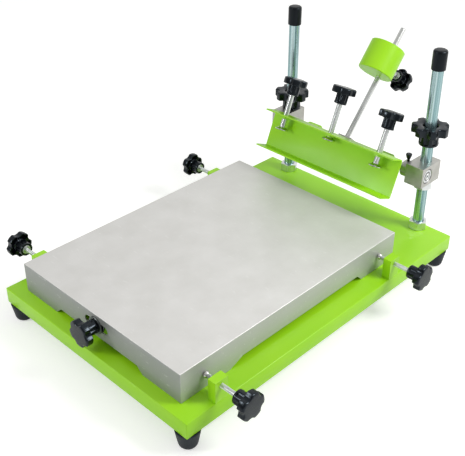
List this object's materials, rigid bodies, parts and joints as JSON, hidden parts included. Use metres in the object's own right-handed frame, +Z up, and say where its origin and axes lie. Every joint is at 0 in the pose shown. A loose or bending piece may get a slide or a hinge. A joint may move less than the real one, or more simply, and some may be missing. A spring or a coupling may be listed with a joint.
{
  "type": "tabletop screen printing press",
  "caption": "Tabletop screen printing press: steel platen on a folded base, threaded posts carrying a tilting screen clamp with counterweight, knobs for registration and height.",
  "frame": {"origin": "centre of the platen's top face, where the work lies", "axes": "+X to the right as seen from the front knob, +Y back to the posts, +Z up"},
  "size_m": [0.454, 0.646, 0.3248],
  "materials": {
    "lime_powder_coat": "gloss powder coat over steel",
    "brushed_stainless": "satin brushed sheet",
    "zinc_steel": "bright zinc plate",
    "bright_steel": "turned and polished",
    "satin_aluminium": "satin milled",
    "black_knob_plastic": "moulded, half gloss",
    "black_rubber": "moulded"
  },
  "bodies": {
    "base": {"base_plate": "lime_powder_coat", "side_brackets": "lime_powder_coat", "front_bracket": "lime_powder_coat", "feet": "black_rubber", "foot_studs": "zinc_steel", "foot_nuts": "zinc_steel", "post_left": "zinc_steel", "post_right": "zinc_steel", "post_cap_left": "black_rubber", "post_cap_right": "black_rubber", "post_base_nuts": "zinc_steel", "post_bosses": "lime_powder_coat"},
    "side_slider": {"side_tips": "bright_steel"},
    "platen": {"platen": "brushed_stainless"},
    "side_adjuster_front_left": {"side_screw_front_left": "zinc_steel", "side_knob_front_left": "black_knob_plastic"},
    "side_adjuster_front_right": {"side_screw_front_right": "zinc_steel", "side_knob_front_right": "black_knob_plastic"},
    "side_adjuster_rear_left": {"side_screw_rear_left": "zinc_steel", "side_knob_rear_left": "black_knob_plastic"},
    "side_adjuster_rear_right": {"side_screw_rear_right": "zinc_steel", "side_knob_rear_right": "black_knob_plastic"},
    "front_slider": {"front_washers": "zinc_steel"},
    "front_adjuster": {"front_screw": "zinc_steel", "front_knob": "black_knob_plastic"},
    "carriage": {"clamp_block_left": "satin_aluminium", "clamp_block_right": "satin_aluminium", "pivot_bearings": "bright_steel", "lock_collar": "satin_aluminium"},
    "lock_screw": {"lock_screw": "black_knob_plastic"},
    "support_nut_left": {"support_nut_left": "zinc_steel"},
    "support_nut_right": {"support_nut_right": "zinc_steel"},
    "height_insert_left": {"height_insert_left": "zinc_steel"},
    "height_insert_right": {"height_insert_right": "zinc_steel"},
    "height_knob_left": {"height_knob_left": "black_knob_plastic"},
    "height_knob_right": {"height_knob_right": "black_knob_plastic"},
    "arm": {"pivot_shaft": "bright_steel", "pivot_pins": "zinc_steel", "hinge_arm_left": "lime_powder_coat", "hinge_arm_right": "lime_powder_coat", "clamp_channel": "lime_powder_coat", "weld_nuts": "lime_powder_coat", "rod_block": "satin_aluminium", "rod_jam_nut": "zinc_steel", "counterweight_rod": "zinc_steel"},
    "clamp_pad_left": {"clamp_pad_left": "bright_steel"},
    "clamp_pad_middle": {"clamp_pad_middle": "bright_steel"},
    "clamp_pad_right": {"clamp_pad_right": "bright_steel"},
    "clamp_screw_left": {"clamp_screw_left": "zinc_steel", "clamp_knob_left": "black_knob_plastic"},
    "clamp_screw_middle": {"clamp_screw_middle": "zinc_steel", "clamp_knob_middle": "black_knob_plastic"},
    "clamp_screw_right": {"clamp_screw_right": "zinc_steel", "clamp_knob_right": "black_knob_plastic"},
    "counterweight": {"counterweight": "lime_powder_coat"},
    "counterweight_lock": {"counterweight_screw": "zinc_steel", "counterweight_knob": "black_knob_plastic"}
  },
  "joints": [
    {"name": "platen_shift_x", "type": "slide", "parent": "base", "child": "side_slider", "axis": [1, 0, 0], "range_m": [-0.005, 0.005]},
    {"name": "platen_shift_y", "type": "slide", "parent": "side_slider", "child": "platen", "axis": [0, 1, 0], "range_m": [-0.005, 0.005]},
    {"name": "side_adjuster_front_right_turn", "type": "hinge", "parent": "side_slider", "child": "side_adjuster_front_right", "pos_m": [0.16, -0.1635, -0.021], "axis": [1, 0, 0], "range_deg": [-1800, 1800]},
    {"name": "side_adjuster_front_left_turn", "type": "hinge", "parent": "side_slider", "child": "side_adjuster_front_left", "pos_m": [-0.16, -0.1635, -0.021], "axis": [1, 0, 0], "range_deg": [-1800, 1800]},
    {"name": "side_adjuster_rear_right_turn", "type": "hinge", "parent": "side_slider", "child": "side_adjuster_rear_right", "pos_m": [0.16, 0.1635, -0.021], "axis": [1, 0, 0], "range_deg": [-1800, 1800]},
    {"name": "side_adjuster_rear_left_turn", "type": "hinge", "parent": "side_slider", "child": "side_adjuster_rear_left", "pos_m": [-0.16, 0.1635, -0.021], "axis": [1, 0, 0], "range_deg": [-1800, 1800]},
    {"name": "front_slide", "type": "slide", "parent": "base", "child": "front_slider", "axis": [0, 1, 0], "range_m": [-0.005, 0.005]},
    {"name": "front_adjuster_turn", "type": "hinge", "parent": "front_slider", "child": "front_adjuster", "pos_m": [0, -0.2, -0.016], "axis": [0, 1, 0], "range_deg": [-1800, 1800]},
    {"name": "arm_lift", "type": "slide", "parent": "base", "child": "carriage", "axis": [0, 0, 1], "range_m": [-0.025, 0.02]},
    {"name": "support_nut_left_turn", "type": "hinge", "parent": "carriage", "child": "support_nut_left", "pos_m": [-0.1257, 0.2934, 0.032], "axis": [0, 0, 1], "range_deg": [-4500, 3600]},
    {"name": "support_nut_right_turn", "type": "hinge", "parent": "carriage", "child": "support_nut_right", "pos_m": [0.1285, 0.2934, 0.032], "axis": [0, 0, 1], "range_deg": [-4500, 3600]},
    {"name": "height_travel_left", "type": "slide", "parent": "carriage", "child": "height_insert_left", "axis": [0, 0, 1], "range_m": [0, 0.08]},
    {"name": "height_knob_left_turn", "type": "hinge", "parent": "height_insert_left", "child": "height_knob_left", "pos_m": [-0.1257, 0.2934, 0.077], "axis": [0, 0, 1], "range_deg": [0, 14400]},
    {"name": "height_travel_right", "type": "slide", "parent": "carriage", "child": "height_insert_right", "axis": [0, 0, 1], "range_m": [-0.0252, 0.055]},
    {"name": "height_knob_right_turn", "type": "hinge", "parent": "height_insert_right", "child": "height_knob_right", "pos_m": [0.1285, 0.2934, 0.103], "axis": [0, 0, 1], "range_deg": [-4536, 9900]},
    {"name": "arm_tilt", "type": "hinge", "parent": "carriage", "child": "arm", "pos_m": [0.0014, 0.2784, 0.054], "axis": [-1, 0, 0], "range_deg": [-22.7, 27.3]},
    {"name": "clamp_travel_left", "type": "slide", "parent": "arm", "child": "clamp_pad_left", "axis": [0, 0.3859, 0.9225], "range_m": [-0.031, 0.0125]},
    {"name": "clamp_knob_left_turn", "type": "hinge", "parent": "clamp_pad_left", "child": "clamp_screw_left", "pos_m": [-0.0854, 0.23815, 0.09772], "axis": [0, 0.3859, 0.9225], "range_deg": [-8928, 3600]},
    {"name": "clamp_travel_middle", "type": "slide", "parent": "arm", "child": "clamp_pad_middle", "axis": [0, 0.3859, 0.9225], "range_m": [-0.0435, 0]},
    {"name": "clamp_knob_middle_turn", "type": "hinge", "parent": "clamp_pad_middle", "child": "clamp_screw_middle", "pos_m": [0.0014, 0.23815, 0.09772], "axis": [0, 0.3859, 0.9225], "range_deg": [-12528, 0]},
    {"name": "clamp_travel_right", "type": "slide", "parent": "arm", "child": "clamp_pad_right", "axis": [0, 0.3859, 0.9225], "range_m": [-0.0339, 0.0096]},
    {"name": "clamp_knob_right_turn", "type": "hinge", "parent": "clamp_pad_right", "child": "clamp_screw_right", "pos_m": [0.0882, 0.23815, 0.09772], "axis": [0, 0.3859, 0.9225], "range_deg": [-9763.2, 2764.8]},
    {"name": "counterweight_travel", "type": "slide", "parent": "arm", "child": "counterweight", "axis": [0, 0.6547, 0.7559], "range_m": [-0.049, 0.03]},
    {"name": "counterweight_knob_turn", "type": "hinge", "parent": "counterweight", "child": "counterweight_lock", "pos_m": [0.0014, 0.3716, 0.14724], "axis": [0, 0.7559, -0.6547], "range_deg": [0, 1080]},
    {"name": "lock_screw_turn", "type": "hinge", "parent": "carriage", "child": "lock_screw", "pos_m": [0.109, 0.2784, 0.069], "axis": [0, 0, 1], "range_deg": [0, 1080]}
  ],
  "couplings": [
    {"joint": "side_adjuster_front_right_turn", "follows": "platen_shift_x", "rad_per_m": 6283.2},
    {"joint": "side_adjuster_front_left_turn", "follows": "platen_shift_x", "rad_per_m": 6283.2},
    {"joint": "side_adjuster_rear_right_turn", "follows": "platen_shift_x", "rad_per_m": 6283.2},
    {"joint": "side_adjuster_rear_left_turn", "follows": "platen_shift_x", "rad_per_m": 6283.2},
    {"joint": "front_slide", "follows": "platen_shift_y", "ratio": 1},
    {"joint": "front_adjuster_turn", "follows": "platen_shift_y", "rad_per_m": 6283.2},
    {"joint": "support_nut_left_turn", "follows": "arm_lift", "rad_per_m": 3141.6},
    {"joint": "support_nut_right_turn", "follows": "arm_lift", "rad_per_m": 3141.6},
    {"joint": "height_knob_left_turn", "follows": "height_travel_left", "rad_per_m": 3141.6},
    {"joint": "height_knob_right_turn", "follows": "height_travel_right", "rad_per_m": 3141.6},
    {"joint": "clamp_knob_left_turn", "follows": "clamp_travel_left", "rad_per_m": 5026.5},
    {"joint": "clamp_knob_middle_turn", "follows": "clamp_travel_middle", "rad_per_m": 5026.5},
    {"joint": "clamp_knob_right_turn", "follows": "clamp_travel_right", "rad_per_m": 5026.5}
  ]
}
